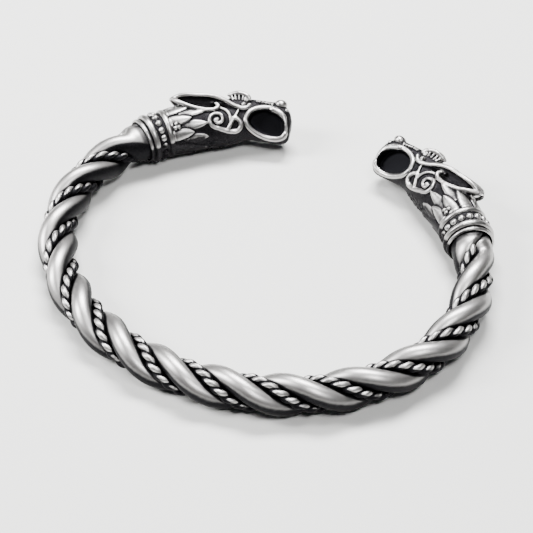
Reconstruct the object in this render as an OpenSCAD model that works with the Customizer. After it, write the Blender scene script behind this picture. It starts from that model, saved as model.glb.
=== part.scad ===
// Viking arm ring: an open oval bangle of two smooth rods twisted together, with a roped
// wire in each groove and a cast beast's head on each end. Millimetres, lying flat, gap toward +Y.

/* [Oval] */
// Half of the oval's width, to the middle of the twist
oval_half_w = 34.3; // [32:0.1:37]
// Half of the oval's depth, from the front toward the gap, to the middle of the twist
oval_half_d = 29.2; // [28:0.1:31]
// Length of the twist from the middle of the front to each collar
twist_half = 66; // [62:0.5:67]

/* [Strands] */
// Diameter of a smooth rod
rod_d = 3.2; // [2.8:0.05:3.2]
// Distance between the middles of the two rods
rod_apart = 3.3; // [3.3:0.05:3.5]
// Length of one full turn of the twist
twist_pitch = 19.8; // [18:0.1:24]
// Angle of the first rod above the outward direction, at the middle of the front
twist_start = 63; // [0:1:180]
// Widest way across a roped wire
wire_d = 1.5; // [1.3:0.05:1.55]
// Narrow way across a roped wire, between its two plies
wire_waist = 1.15; // [0.9:0.05:1.3]
// Distance from the middle of the twist to the middle of a roped wire
wire_out = 2.05; // [2.05:0.05:2.2]
// Length of one full turn of a wire's plies
ply_pitch = 4; // [3.2:0.2:6]

/* [Collar] */
// Diameter over the collar's bands
collar_d = 8.5; // [8.2:0.1:9.5]
// Depth of the socket that holds the strands
socket_depth = 2; // [1.4:0.1:2.6]
// Clearance between the strands and the socket
socket_gap = 0.12; // [0.08:0.01:0.3]
// Number of granules round the collar
granules = 20; // [16:1:22]
// Height that the granules stand out of their channel
granule_rise = 0.5; // [0.3:0.05:0.55]

/* [Head] */
// Angle that the top of a head leans up from the outward direction
head_roll = 42; // [0:1:60]
// Number of leaf scales in one row round the neck
leaves = 10; // [8:1:12]
// Height that the leaf scales stand proud of the neck
leaf_h = 0.35; // [0.2:0.05:0.5]
// Thickness of the web that is left inside the mouth, between its two sides
mouth_web = 0.8; // [0.6:0.1:1.6]
// Diameter of the lip round the mouth
lip_d = 1.15; // [0.9:0.05:1.3]
// Diameter of the raised rims and scrolls
rim_d = 0.9; // [0.7:0.05:1]
// Diameter of the ball on the nose
nose_d = 1.9; // [1.4:0.1:2.2]

/* [Hidden] */

twist_r = (rod_apart + rod_d) / 2;
collar_r = collar_d / 2;
// The strands slant, so the edge of a rod's end reaches further than its middle
rod_end_reach = rod_d / 2 * sin(atan(PI * rod_apart / twist_pitch));
strand_end = twist_half + socket_depth - socket_gap - rod_end_reach;
rod_steps = 90;
rod_sides = 8;
wire_steps = 250;
wire_sides = 4;

// The oval is measured once: distance along it from the middle of the front, and its angle there
oval_steps = 180;
oval_angles = [for (i = [0 : oval_steps]) 180 * i / oval_steps];
oval_points = [for (t = oval_angles) [oval_half_w * sin(t), -oval_half_d * cos(t)]];
oval_table = [for (i = 0, d = 0; i <= oval_steps;
                   d = d + (i < oval_steps ? norm(oval_points[i + 1] - oval_points[i]) : 0), i = i + 1)
              [d, oval_angles[i]]];

// The collars are thicker than the twist, so the ring rises a little from its front to its ends
collar_back = -oval_half_d * cos(lookup(twist_half, oval_table));
rise_rate = (collar_r - twist_r) / (collar_back + oval_half_d);
// Shift that puts the middle of the ring's box over the origin
reach_front = oval_half_d + twist_r;
reach_back = 31.63;
shift_y = (reach_front - reach_back) / 2;

// Places on the middle line of the ring, at a distance from the middle of the front
function oval_angle(s) = sign(s) * lookup(abs(s), oval_table);
function mid_point(s) = let (t = oval_angle(s), y = -oval_half_d * cos(t))
    [oval_half_w * sin(t), y + shift_y, twist_r + rise_rate * (y + oval_half_d)];
function unit(v) = v / norm(v);
function forward(s) = let (t = oval_angle(s)) unit([oval_half_w * cos(t), oval_half_d * sin(t), 0]);
function outward(s) = let (a = forward(s)) [a[1], -a[0], 0];

// Directions at a strand: from the twist's middle, along the strand and across both
function strand_angle(s, turn) = twist_start + turn - 360 * s / twist_pitch;
function strand_radial(s, turn) = let (q = strand_angle(s, turn)) cos(q) * outward(s) + [0, 0, sin(q)];
function strand_along(s, turn, out) = let (q = strand_angle(s, turn))
    unit(forward(s) - 2 * PI * out / twist_pitch * ([0, 0, cos(q)] - sin(q) * outward(s)));
function strand_ring(s, turn, out, half_a, half_b, spin, sides) =
    let (r = strand_radial(s, turn), a = strand_along(s, turn, out), c = cross(r, a))
    [for (j = [0 : sides - 1]) let (q = 360 * j / sides, x = half_a * cos(q), y = half_b * sin(q))
        mid_point(s) + (out + x * cos(spin) - y * sin(spin)) * r + (x * sin(spin) + y * cos(spin)) * c];

// A place on the right-hand head: u along it from the back of the collar, v toward its top, w sideways
function head_point(p) = let (s = twist_half + p[0])
    mid_point(s) + (p[1] * cos(head_roll) - p[2] * sin(head_roll)) * outward(s)
    + [0, 0, p[1] * sin(head_roll) + p[2] * cos(head_roll)];

// Rings of a round bar that follows a path of head places
function bar_rings(path, r, sides, loop) =
    let (n = len(path), pts = [for (p = path) head_point(p)],
         side = head_point([12, 0, 1]) - head_point([12, 0, 0]))
    [for (i = [0 : n - 1])
        let (after = pts[loop ? (i + 1) % n : min(i + 1, n - 1)],
             before = pts[loop ? (i + n - 1) % n : max(i - 1, 0)],
             d = unit(after - before), a = unit(cross(side, d)), b = cross(d, a))
        [for (j = [0 : sides - 1]) let (q = -360 * (j + 0.5) / sides) pts[i] + r * (cos(q) * a + sin(q) * b)]];

// A closed skin through rings that all have the same number of points
module skin(rings, loop = false) {
    n = len(rings);
    m = len(rings[0]);
    sides = [for (i = [0 : loop ? n - 1 : n - 2], j = [0 : m - 1])
        let (a = i * m + j, k = (j + 1) % m, b = (i + 1) % n * m + j, c = (i + 1) % n * m + k, d = i * m + k)
        each [[a, c, b], [a, d, c]]];
    caps = loop ? [] : [[for (j = [m - 1 : -1 : 0]) j], [for (j = [0 : m - 1]) (n - 1) * m + j]];
    polyhedron(points = [for (r = rings) each r], faces = concat(sides, caps), convexity = 6);
}

// A ring of points in the order that keeps its faces outward on either side of the head
function facing(ring, side) = side > 0 ? ring : [for (i = [len(ring) - 1 : -1 : 0]) ring[i]];

// A round bar along a path of head places
bar_sides = 4;
module bar(path, r, loop = false) skin(bar_rings(path, r, bar_sides, loop), loop);

module smooth_rod(turn) {
    skin([for (i = [0 : rod_steps]) let (s = strand_end * (2 * i / rod_steps - 1))
        strand_ring(s, turn, rod_apart / 2, rod_d / 2, rod_d / 2, 0, rod_sides)]);
}

module roped_wire(turn) {
    lay = norm([2 * PI * wire_out, twist_pitch]) / twist_pitch;
    skin([for (i = [0 : wire_steps]) let (s = strand_end * (2 * i / wire_steps - 1))
        strand_ring(s, turn, wire_out, wire_d / 2, wire_waist / 2, 360 * s * lay / ply_pitch, wire_sides)]);
}

// Collar: place along the head, share of the collar's radius, and how far granules stand out there
collar_profile = [
    [0, 0.93, 0], [0.25, 1, 0], [0.85, 1, 0], [1.05, 0.93, 0], [1.25, 0.99, 0], [1.85, 0.99, 0], [2, 0.87, 0],
    [2.6, 0.87, 1], [3.2, 0.87, 0], [3.45, 0.97, 0], [4.2, 0.95, 0]];

// Neck and skull: u, top, bottom and half width at each place along the head
skull_profile = [
    [4.4, 3.7, 3.7, 3.7], [6.5, 3.75, 3.8, 3.75], [9, 3.65, 3.9, 3.6], [11.5, 3.7, 4.0, 3.4],
    [14, 4.1, 3.9, 3.1], [16, 4.4, 3.5, 2.8], [18, 4.2, 3.0, 2.4], [21, 3.9, 3.2, 2.15],
    [23.7, 3.5, 3.4, 1.9], [25.1, 2.3, 3.1, 1.4], [25.6, 1.0, 2.4, 0.9]];
neck_places = [4.4, 5.6, 6.8, 8, 9.2, 10.4, 11.5];
body_sides = 2 * granules;

function skull_at(u, column) = lookup(u, [for (row = skull_profile) [row[0], row[column]]]);
function skull_side(u, v) = let (edge = skull_at(u, v > 0 ? 1 : 2))
    skull_at(u, 3) * sqrt(max(0.1, 1 - pow(v / edge, 2)));
// A place on the side of the skull, lifted off it
function on_skull(u, v, side, lift) = [u, v, side * (skull_side(u, v) + lift)];

// Two rows of leaf scales: where each row starts; a leaf is leaf_length long and widest in its middle
leaf_rows = [3.2, 5.9];
leaf_length = 5.5;
function leaf_lift(u, turn, row) =
    let (step = 360 / leaves, x = (u - leaf_rows[row]) / leaf_length,
         place = turn / step + row / 2, off = abs(place - round(place)) * 2, wide = 1 - abs(2 * x - 1))
    x < 0 || x > 1 ? 0 : min(1, 2 * max(0, wide - off));

// One ring of the head's body: u, top, bottom, half width, and how far granules and leaves stand out
function body_ring(u, top, bottom, half_w, bump, scales) =
    [for (j = [0 : body_sides - 1]) let (q = 360 * j / body_sides, edge = cos(q) > 0 ? top : bottom,
            lift = bump * (1 - j % 2) * granule_rise + scales * leaf_h * max(leaf_lift(u, q, 0), leaf_lift(u, q, 1)))
        head_point([u, cos(q) * (edge + lift), (half_w + lift) * sin(q)])];
function round_ring(u, r, bump = 0) = body_ring(u, r, r, r, bump, 0);

// Mouth opening, seen from the side
mouth_mid = [21.5, 0.3];
mouth_half = [3.0, 2.15];
mouth_droop = -0.16;
mouth_points = 13;
mouth_reach = 4;
lip_grow = 0.3;
function mouth_edge(i, grow) = let (q = 360 * i / mouth_points,
                                    x = (mouth_half[0] + grow) * cos(q), y = (mouth_half[1] + grow) * sin(q))
    [mouth_mid[0] + x, mouth_mid[1] + y + mouth_droop * x];

// Body of the head: the socket's floor and wall, the collar, the neck and the skull in one skin
module head_body() {
    socket_r = (twist_r + socket_gap) / cos(180 / body_sides);
    difference() {
        skin(concat([for (u = [socket_depth, 0]) round_ring(u, socket_r)],
            [for (row = collar_profile) round_ring(row[0], row[1] * collar_r, row[2])],
            [for (u = neck_places) body_ring(u, skull_at(u, 1), skull_at(u, 2), skull_at(u, 3), 0, 1)],
            [for (row = skull_profile) if (row[0] > max(neck_places)) body_ring(row[0], row[1], row[2], row[3], 0, 0)]));
        for (side = [-1, 1], edge = [[for (i = [0 : mouth_points - 1]) mouth_edge(i, 0)]])
            skin([for (w = [mouth_web / 2, mouth_reach])
                facing([for (e = edge) head_point([e[0], e[1], side * w])], side)]);
    }
}

module lips(side) {
    bar([for (i = [0 : mouth_points - 1]) let (e = mouth_edge(i, lip_grow)) on_skull(e[0], e[1], side, -0.1)],
        lip_d / 2, loop = true);
}

// Nose: its ball, and a row of dots on either side of the bridge
nose_place = [23.4, 3.8, 0];
dot_places = [19.9, 20.5, 21.1, 21.7];
dot_d = 0.5;

module nose() {
    translate(head_point(nose_place)) sphere(d = nose_d, $fn = 8);
    for (side = [-1, 1], u = dot_places)
        hull() translate(head_point([u, skull_at(u, 1) - 0.35, side * 0.9])) sphere(d = dot_d, $fn = 4);
}

// Ear: u, v of the upper rim, v of the lower rim and w of both, from its tip to the eye
ear_rows = [[4.6, 5.9, 5.5, 2.3], [6, 6.0, 4.7, 2.6], [7.7, 5.75, 3.5, 2.9], [9.6, 5.4, 2.6, 3.0],
            [11.4, 5.1, 2.4, 3.0], [12.9, 4.6, 2.7, 2.9], [14.5, 3.75, 2.75, 2.7], [16.1, 3.0, 2.25, 2.5]];
ear_root = 1.4;

module ear(side) {
    r = rim_d / 2;
    skin([for (row = ear_rows) let (top = row[1], low = row[2], w = row[3], mid = (top + low) / 2,
                                    dish = min(1, (top - low) / 2) * rim_d)
        facing([for (p = [[top + r, w - r], [top, w + r / 2], [mid, w + r / 2 - dish], [low, w + r / 2],
                          [low - r, w - r], [low - r, ear_root], [top - r, ear_root]])
            head_point([row[0], p[0], side * p[1]])], side)]);
}

// Brow: u and v along the arched crest over the eye
brow_line = [[14, 5.0], [15, 5.6], [16.2, 5.8], [17.4, 5.6], [18.4, 4.9], [19, 3.9]];

module brow(side) {
    skin([for (p = brow_line) let (foot = 16.5 + (p[0] - 16.5) * 0.6) facing([
        head_point([p[0], p[1] + 0.3, side * 1.5]), head_point([p[0], p[1] - 0.2, side * 2.0]),
        head_point([foot, 3.0, side * 1.9]), head_point([foot, 3.0, side * 1.1])], side)]);
    translate(head_point(on_skull(17.4, 3.4, side, 0))) sphere(d = 1.1, $fn = 6);
}

// Cheek scroll: a spiral that runs on into a loop behind the mouth
scroll_mid = [12.7, 0.4];
scroll_r = [0.5, 1.5];
scroll_turns = 1.4;
scroll_points = 11;
scroll_loop = [[14.2, -1.45], [15.7, -1.8], [16.8, -0.9], [16.4, 0.6], [15, 1.9]];

module scroll(side) {
    spiral = [for (i = [0 : scroll_points])
        let (t = i / scroll_points, q = -90 - 360 * scroll_turns * (1 - t),
             r = scroll_r[0] * (1 - t) + scroll_r[1] * t)
        [scroll_mid[0] + 1.15 * r * cos(q), scroll_mid[1] + r * sin(q)]];
    bar([for (p = concat(spiral, scroll_loop)) on_skull(p[0], p[1], side, 0.1)], rim_d / 2);
}

module beast_head() {
    head_body();
    nose();
    for (side = [-1, 1]) {
        lips(side);
        ear(side);
        brow(side);
        scroll(side);
    }
}

module smooth_rod_a() color("silver") smooth_rod(0);
module smooth_rod_b() color("silver") smooth_rod(180);
module roped_wire_a() color("darkgray") roped_wire(90);
module roped_wire_b() color("darkgray") roped_wire(270);
module right_head() color("lightgray") beast_head();
module left_head() color("lightgray") mirror([1, 0, 0]) beast_head();

smooth_rod_a();
smooth_rod_b();
roped_wire_a();
roped_wire_b();
left_head();
right_head();
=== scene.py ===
import math

import bpy
import numpy as np
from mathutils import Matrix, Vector, noise


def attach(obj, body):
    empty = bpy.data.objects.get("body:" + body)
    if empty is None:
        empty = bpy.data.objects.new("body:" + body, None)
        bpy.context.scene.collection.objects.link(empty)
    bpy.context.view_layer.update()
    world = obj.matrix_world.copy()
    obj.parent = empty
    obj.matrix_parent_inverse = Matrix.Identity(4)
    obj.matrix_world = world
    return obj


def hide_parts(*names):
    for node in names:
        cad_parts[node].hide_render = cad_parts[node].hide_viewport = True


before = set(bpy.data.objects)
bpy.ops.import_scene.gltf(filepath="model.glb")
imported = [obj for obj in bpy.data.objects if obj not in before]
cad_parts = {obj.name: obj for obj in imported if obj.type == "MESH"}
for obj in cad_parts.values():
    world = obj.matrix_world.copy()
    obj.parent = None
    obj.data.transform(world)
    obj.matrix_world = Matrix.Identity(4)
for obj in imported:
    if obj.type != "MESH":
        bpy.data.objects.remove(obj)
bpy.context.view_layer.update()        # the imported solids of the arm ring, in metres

mm = 0.001

# Oval and twist, in millimetres, as the solids have them
ring = {
    "halfWidth": 34.3,     # to the middle of the twist
    "halfDepth": 29.2,
    "middleY": 0.41,       # the oval's middle, so that the whole ring is centred
    "twistHalf": 66.0,     # from the middle of the front to each collar
    "twistPitch": 19.8,
    "twistStart": 63.0,    # degrees above outward, first rod, middle of the front
    "twistRadius": 3.25,
    "collarRadius": 4.25,
    "headRoll": 42.0,      # degrees that the top of a head leans up from outward
}


# Small helpers for numbers and shapes

def smoothStep(low, high, x):
    t = np.clip((x - low) / (high - low), 0.0, 1.0)
    return t * t * (3.0 - 2.0 * t)


def unitRows(v):
    return v / np.maximum(np.linalg.norm(v, axis=-1, keepdims=True), 1e-9)


def fullTurn(count):  # angles evenly round a circle
    return np.linspace(0, 2 * np.pi, count, endpoint=False)


def smoothPath(points, steps, closed=False):  # a round curve through a few chosen points
    p = np.asarray(points, float)
    if closed:
        p = np.vstack([p[-1:], p, p[:2]])
    else:
        p = np.vstack([2 * p[0] - p[1], p, 2 * p[-1] - p[-2]])
    t = np.linspace(0, 1, steps, endpoint=False)[:, None]
    out = []
    for a, b, c, d in zip(p[:-3], p[1:-2], p[2:-1], p[3:]):
        out.append(0.5 * (2 * b + (c - a) * t + (2 * a - 5 * b + 4 * c - d) * t**2
                          + (3 * b - a - 3 * c + d) * t**3))
    if not closed:
        out.append(p[-2][None])
    return np.vstack(out)


def growAlong(path, grow):  # share of a bar's radius at each place of its path
    return np.interp(np.linspace(0, 1, len(path)), *grow)


def loft(rings, closed=False):  # a closed skin through rings of equal count
    rings = np.asarray(rings, float)
    n, m = rings.shape[:2]
    spans = n if closed else n - 1
    i, j = np.meshgrid(np.arange(spans), np.arange(m), indexing="ij")
    k, nxt = (j + 1) % m, (i + 1) % n
    quads = np.stack([i * m + j, i * m + k, nxt * m + k, nxt * m + j], -1).reshape(-1, 4)
    faces = quads.tolist()
    if not closed:
        faces += [list(range(m))[::-1], list(range((n - 1) * m, n * m))]
    return rings.reshape(-1, 3), faces


def lathe(outline, sides=96):  # an outline turned round the head's own line
    q = fullTurn(sides)
    return loft([np.column_stack([np.full(sides, u), r * np.cos(q), r * np.sin(q)]) for u, r in outline])


def tube(path, radius, sides=10, closed=False):  # a round bar, its ends rounded unless it closes
    p = np.asarray(path, float)
    r = np.broadcast_to(np.asarray(radius, float), (len(p),)).copy()
    if closed:
        along = unitRows(np.roll(p, -1, 0) - np.roll(p, 1, 0))
    else:
        lean = np.radians([88, 62, 32])  # of the rings that round off an end
        first, last = unitRows(p[0] - p[1]), unitRows(p[-1] - p[-2])
        p = np.vstack([p[0] + first * r[0] * np.sin(lean)[:, None], p,
                       p[-1] + last * r[-1] * np.sin(lean[::-1])[:, None]])
        r = np.concatenate([r[0] * np.cos(lean), r, r[-1] * np.cos(lean[::-1])])
        along = unitRows(np.gradient(p, axis=0))
    across = unitRows(np.cross(along, [0.0, 0.0, 1.0]) + 1e-6)
    raised = np.cross(across, along)
    q = fullTurn(sides)
    rings = (p[:, None] + r[:, None, None] * (np.cos(q)[None, :, None] * across[:, None]
                                              + np.sin(q)[None, :, None] * raised[:, None]))
    return loft(rings, closed)


def ball(centre, radii, sides=14):
    radii = np.broadcast_to(np.asarray(radii, float), (3,))
    q = fullTurn(sides)
    lean = np.linspace(-0.49 * np.pi, 0.49 * np.pi, sides // 2 + 1)  # just short of the two poles
    rings = np.stack([np.broadcast_to(np.sin(lean)[:, None], (len(lean), sides)),
                      np.cos(lean)[:, None] * np.cos(q), np.cos(lean)[:, None] * np.sin(q)], -1)
    return loft(np.asarray(centre, float) + rings * radii)


def joined(parts):
    points, faces, start = [], [], 0
    for v, f in parts:
        points.append(v)
        faces += [[a + start for a in face] for face in f]
        start += len(v)
    return np.vstack(points), faces


# Small helpers for objects, meshes and nodes

def linkedObject(name, data):
    obj = bpy.data.objects.new(name, data)
    bpy.context.scene.collection.objects.link(obj)
    return obj


def meshObject(name, points, faces):
    mesh = bpy.data.meshes.new(name)
    mesh.from_pydata(np.asarray(points).tolist(), [], faces)
    mesh.update()
    return linkedObject(name, mesh)


def curveObject(name, points, closed=False, radii=None):
    curve = bpy.data.curves.new(name, "CURVE")
    curve.dimensions = "3D"
    spline = curve.splines.new("POLY")
    spline.points.add(len(points) - 1)
    spline.points.foreach_set("co", np.hstack([points, np.ones((len(points), 1))]).ravel())
    if radii is not None:
        spline.points.foreach_set("radius", radii)
    spline.use_cyclic_u = closed
    return linkedObject(name, curve)


def bakedMesh(obj, name):  # the object with its modifiers, as a plain mesh
    graph = bpy.context.evaluated_depsgraph_get()
    mesh = bpy.data.meshes.new_from_object(obj.evaluated_get(graph), depsgraph=graph)
    mesh.name = name
    return mesh


def meshPoints(mesh):
    points = np.empty(len(mesh.vertices) * 3)
    mesh.vertices.foreach_get("co", points)
    return points.reshape(-1, 3)


def meshNormals(mesh):
    normals = np.empty(len(mesh.vertices) * 3)
    mesh.vertex_normals.foreach_get("vector", normals)
    return normals.reshape(-1, 3)


def meshVolume(mesh, points):  # negative where the faces look inward
    mesh.calc_loop_triangles()
    corners = np.empty(len(mesh.loop_triangles) * 3, int)
    mesh.loop_triangles.foreach_get("vertices", corners)
    a, b, c = points[corners].reshape(-1, 3, 3).transpose(1, 0, 2)
    return (np.cross(a, b) * c).sum() / 6


def addNode(tree, kind, links=None, **settings):
    node = tree.nodes.new(kind)
    inputs = settings.pop("inputs", {})
    for key, value in settings.items():
        setattr(node, key, value)
    for key, value in inputs.items():
        node.inputs[key].default_value = value
    for key, source in (links or {}).items():
        tree.links.new(source, node.inputs[key])
    return node


def emptyMaterial(name):  # a material and its tree, with no nodes yet
    mat = bpy.data.materials.new(name)
    mat.use_nodes = True
    mat.node_tree.nodes.clear()
    return mat, mat.node_tree


def geometryTree(name, inputs):  # an empty tree with its named inputs and one output
    tree = bpy.data.node_groups.new(name, "GeometryNodeTree")
    for label, kind in inputs.items():
        tree.interface.new_socket(label, in_out="INPUT", socket_type=kind)
    tree.interface.new_socket("Geometry", in_out="OUTPUT", socket_type="NodeSocketGeometry")
    return tree


def endTree(tree, shape, material):  # makes any copies real and coats them, as each tree ends
    real = addNode(tree, "GeometryNodeRealizeInstances", {"Geometry": shape})
    coated = addNode(tree, "GeometryNodeSetMaterial", {"Geometry": real.outputs[0], "Material": material})
    addNode(tree, "NodeGroupOutput", {"Geometry": coated.outputs[0]})
    return tree


def giveTree(obj, tree, values):  # puts the tree on an object, and sets inputs by their identifiers
    modifier = obj.modifiers.new(tree.name, "NODES")
    modifier.node_group = tree
    for item in tree.interface.items_tree:
        if item.item_type == "SOCKET" and item.in_out == "INPUT" and item.name in values:
            modifier[item.identifier] = values[item.name]


def linear(hexColour):
    parts = [int(hexColour[i:i + 2], 16) / 255 for i in (1, 3, 5)]
    return tuple(c / 12.92 if c <= 0.04045 else ((c + 0.055) / 1.055) ** 2.4 for c in parts) + (1.0,)


# Places on the ring: s runs along the oval from the middle of the front, toward +X first

ovalTurn = np.linspace(-np.pi, np.pi, 7201)
ovalPlan = np.stack([ring["halfWidth"] * np.sin(ovalTurn), -ring["halfDepth"] * np.cos(ovalTurn)], 1)
ovalLength = np.concatenate([[0], np.cumsum(np.linalg.norm(np.diff(ovalPlan, axis=0), axis=1))])
ovalLength -= ovalLength[len(ovalLength) // 2]
collarTurn = np.interp(ring["twistHalf"], ovalLength, ovalTurn)
riseRate = ((ring["collarRadius"] - ring["twistRadius"])
            / (ring["halfDepth"] * (1 - math.cos(collarTurn))))
upward = np.array([0.0, 0.0, 1.0])


def ringPlace(s):  # middle line, forward and outward directions at each s
    t = np.interp(s, ovalLength, ovalTurn)
    y = -ring["halfDepth"] * np.cos(t)
    middle = np.stack([ring["halfWidth"] * np.sin(t), y + ring["middleY"],
                       ring["twistRadius"] + riseRate * (y + ring["halfDepth"])], 1)
    forward = unitRows(np.stack([ring["halfWidth"] * np.cos(t), ring["halfDepth"] * np.sin(t), 0 * t], 1))
    outward = np.stack([forward[:, 1], -forward[:, 0], 0 * t], 1)
    return middle, forward, outward


def twistPlace(s, turn):  # directions out to a strand and round the twist, at each s
    outward = ringPlace(s)[2]
    lean = np.radians(ring["twistStart"] + turn - 360 * s / ring["twistPitch"])[:, None]
    radial = np.cos(lean) * outward + np.sin(lean) * upward
    around = np.cos(lean) * upward - np.sin(lean) * outward
    return radial, around


def headToRing(points, side):  # from a head's own u, v, w to the ring's place, in millimetres
    roll = math.radians(ring["headRoll"])
    u, v, w = points.T
    middle, _, outward = ringPlace(ring["twistHalf"] + u)
    placed = middle + (v * math.cos(roll) - w * math.sin(roll))[:, None] * outward
    placed[:, 2] += v * math.sin(roll) + w * math.cos(roll)
    placed[:, 0] *= side
    return placed


# Finishes: the black is left where the polishing cloth didn't reach; painted shade darkens sides away from
# the light

def silverMaterial(name, look):
    # Sterling silver blackened with sulphide and wiped back: bright satin high spots, near-black
    # recesses. A point attribute says how much black is at each place: oxide left, and painted shade.
    mat, tree = emptyMaterial(name)
    place = addNode(tree, "ShaderNodeTexCoord")
    mask = addNode(tree, "ShaderNodeAttribute", attribute_name="oxideAndShade")
    cloud = addNode(tree, "ShaderNodeTexNoise", {"Vector": place.outputs["Object"]},
                    inputs={"Scale": 1 / (look["cloudSize"] * mm), "Detail": 5.0, "Roughness": 0.62})
    grain = addNode(tree, "ShaderNodeTexNoise", {"Vector": place.outputs["Object"]},
                    inputs={"Scale": 1 / (look["grainSize"] * mm), "Detail": 3.0, "Roughness": 0.6})
    shifted = addNode(tree, "ShaderNodeMath", {0: cloud.outputs["Fac"]}, operation="MULTIPLY_ADD",
                      inputs={1: look["cloudShare"], 2: -0.5 * look["cloudShare"]})
    broken = addNode(tree, "ShaderNodeMath", {0: mask.outputs["Fac"], 1: shifted.outputs[0]},
                     operation="ADD")
    black = addNode(tree, "ShaderNodeMapRange", {"Value": broken.outputs[0]},
                    interpolation_type="SMOOTHSTEP",
                    inputs={"From Min": look["oxideFrom"], "From Max": look["oxideTo"]})
    tone = addNode(tree, "ShaderNodeMixRGB", {"Fac": cloud.outputs["Fac"]},
                   inputs={"Color1": linear(look["silverLow"]), "Color2": linear(look["silverHigh"])})
    worn = addNode(tree, "ShaderNodeMapRange", {"Value": grain.outputs["Fac"]},
                   inputs={"From Min": 0.42, "From Max": 0.66})  # specks rubbed through the black
    deep = addNode(tree, "ShaderNodeMapRange", {"Value": mask.outputs["Fac"]},
                   inputs={"From Min": 0.8, "From Max": 1.0, "To Min": 1.0, "To Max": 0.0})  # not in recesses
    rubbed = addNode(tree, "ShaderNodeMath", {0: worn.outputs["Result"], 1: deep.outputs["Result"]},
                     operation="MULTIPLY")
    film = addNode(tree, "ShaderNodeMixRGB", {"Fac": rubbed.outputs[0]},
                   inputs={"Color1": linear(look["oxideAndShade"]), "Color2": linear(look["oxideRubbed"])})
    colour = addNode(tree, "ShaderNodeMixRGB", {"Fac": black.outputs["Result"],
                                                "Color1": tone.outputs["Color"],
                                                "Color2": film.outputs["Color"]})
    satin = addNode(tree, "ShaderNodeMath", {0: grain.outputs["Fac"]}, operation="MULTIPLY_ADD",
                    inputs={1: look["roughSpread"], 2: look["rough"] - 0.5 * look["roughSpread"]})
    rough = addNode(tree, "ShaderNodeMixRGB", {"Fac": black.outputs["Result"], "Color1": satin.outputs[0]},
                    inputs={"Color2": (look["oxideRough"],) * 3 + (1.0,)})
    relief = addNode(tree, "ShaderNodeMath", {0: grain.outputs["Fac"], 1: black.outputs["Result"]},
                     operation="SUBTRACT")
    bump = addNode(tree, "ShaderNodeBump", {"Height": relief.outputs[0]},
                   inputs={"Strength": look["bump"], "Distance": look["bumpDepth"] * mm})
    shader = addNode(tree, "ShaderNodeBsdfPrincipled",
                     {"Base Color": colour.outputs["Color"], "Roughness": rough.outputs["Color"],
                      "Normal": bump.outputs["Normal"]}, inputs={"Metallic": 1.0})
    addNode(tree, "ShaderNodeOutputMaterial", {"Surface": shader.outputs[0]})
    return mat


rodLook = {  # sizes in millimetres
    # The black colour serves both the oxide in the recesses and the painted shade
    "silverHigh": "#bdbbb9", "silverLow": "#8d8b8b", "oxideAndShade": "#101012", "oxideRubbed": "#2b2a2c",
    "rough": 0.4, "roughSpread": 0.12, "oxideRough": 0.55,
    "cloudSize": 1.6, "cloudShare": 0.28,
    "grainSize": 0.14,     # coarser than real polishing marks, which are too fine to show
    "oxideFrom": 0.3, "oxideTo": 0.8,
    "bump": 0.25, "bumpDepth": 0.03,
}
wireLook = dict(rodLook, rough=0.42, oxideTo=0.65, cloudSize=1.2, cloudShare=0.12, bump=0.1)
castLook = dict(rodLook, rough=0.33, roughSpread=0.16, oxideTo=0.72, cloudSize=0.55, cloudShare=0.42,
                oxideRubbed="#333133", bump=0.55)
satinRod = silverMaterial("satin_silver_rod", rodLook)
ropedSilver = silverMaterial("oxidised_silver_wire", wireLook)
castSilver = silverMaterial("oxidised_cast_silver", castLook)

# Painted shade: black on the sides of strands that face away from the lights, and on faces that look down
paintedShading = {
    "middle": 77.0,        # of a strand's lit side, left bright by the painted shade, in degrees from outward toward the top
    "brightHalf": 22.0,    # degrees from there to where the painted shade begins
    # degrees from there to where the painted shade is full, and its share
    "blackHalf": 74.0,
    "share": 0.9,
    "under": (0.1, -0.5),  # how far a face looks up, where the painted shade beneath the ring begins and is full
    # share of the painted shade beneath the ring
    "underShadeShare": 0.8,
}


def paintedSideShade(directions, outward):  # painted shade on the sides that face away from the light
    lean = math.radians(paintedShading["middle"])
    toLight = math.cos(lean) * outward + math.sin(lean) * upward
    away = np.degrees(np.arccos(np.clip((directions * toLight).sum(-1), -1, 1)))
    return paintedShading["share"] * smoothStep(paintedShading["brightHalf"], paintedShading["blackHalf"], away)


def finishPiece(obj, points, oxideAndShade, material, slot, *nodes):  # points in millimetres
    mesh = obj.data
    mesh.vertices.foreach_set("co", (points * mm).ravel())
    if meshVolume(mesh, points) < 0:
        mesh.flip_normals()
    mesh.update()
    # Painted shade on every face that looks down
    under = paintedShading["underShadeShare"] * smoothStep(*paintedShading["under"], meshNormals(mesh)[:, 2])
    layer = mesh.attributes.new("oxideAndShade", "FLOAT", "POINT")
    layer.data.foreach_set("value", np.clip(np.maximum(oxideAndShade, under), 0, 1).astype(np.float32))
    mesh.polygons.foreach_set("use_smooth", np.ones(len(mesh.polygons), bool))
    mesh.materials.clear()
    mesh.materials.append(material)
    mesh.update()
    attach(obj, "root")
    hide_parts(*nodes)


# Smooth rods: round along the twist, spreading into two halves of a cylinder at each collar

rodSizes = {
    "radius": 1.6,
    "apart": 3.3,          # between the middles of the two rods
    "spreadRadius": 3.28,  # of the cylinder that the rods close up into
    "spread": (5.4, 2.3),  # distance before the collar where they start to spread and are closed up
    "split": 0.04,         # half of the line left between them there
    "squareness": 7.0,     # of their edges along that line
    "endDepth": 1.8,       # into the collar's socket
    "steps": 640,
    "sides": 40,
    "dark": (64.0, 100.0),  # degrees round a rod, from the twist's outside, where black begins and is full
    "splitDark": (111.0, 117.0),  # the same where the rods have closed up
    "splitShare": 0.6,     # share of black in the line between them there
    "endShade": 0.42,       # thin painted shade near the collar
    "endReach": (4.5, 2.5),  # distance before the collar where it begins and is full
    "cornerShade": 0.7,    # painted shade in the corner against the collar
    "cornerReach": (2.7, 1.5),
    "socketReach": (1.1, 0.8),  # inside the collar's rim the black is whole
}


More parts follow.
